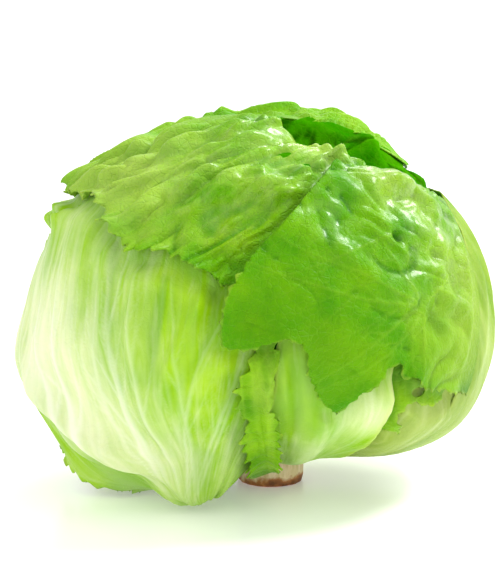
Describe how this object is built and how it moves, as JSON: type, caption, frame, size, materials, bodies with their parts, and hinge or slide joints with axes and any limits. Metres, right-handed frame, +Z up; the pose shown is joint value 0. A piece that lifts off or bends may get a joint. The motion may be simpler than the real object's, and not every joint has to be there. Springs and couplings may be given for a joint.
{
  "type": "head of lettuce",
  "caption": "Crisp lettuce head: a dense heart on a short cut stem, wrapped in loose outer leaves with toothed, waved margins and raised ribs.",
  "frame": {"origin": "middle of the stem's flat cut face, on which the head stands", "axes": "+Z up out of the cut face, -Y towards the viewer of the picture, +X to the viewer's right"},
  "size_m": [0.1751, 0.1532, 0.1401],
  "materials": {
    "stem": "dry cut, browned at its edge",
    "heart": "waxy leaf",
    "lower_right_leaf": "waxy pale leaf",
    "left_under_leaf": "waxy leaf",
    "torn_leaf": "waxy leaf",
    "left_wrapper": "waxy pale leaf",
    "front_wrapper": "waxy pale leaf",
    "curled_leaf": "waxy leaf",
    "cap_leaf": "waxy puckered leaf",
    "back_wrapper": "waxy pale leaf",
    "upper_right_leaf": "waxy leaf",
    "right_wrapper": "waxy pale leaf"
  },
  "bodies": {
    "root": {"stem": "stem", "heart": "heart", "lower_right_leaf": "lower_right_leaf", "left_under_leaf": "left_under_leaf", "torn_leaf": "torn_leaf", "left_wrapper": "left_wrapper", "front_wrapper": "front_wrapper", "curled_leaf": "curled_leaf", "cap_leaf": "cap_leaf", "back_wrapper": "back_wrapper", "upper_right_leaf": "upper_right_leaf", "right_wrapper": "right_wrapper"}
  },
  "joints": []
}
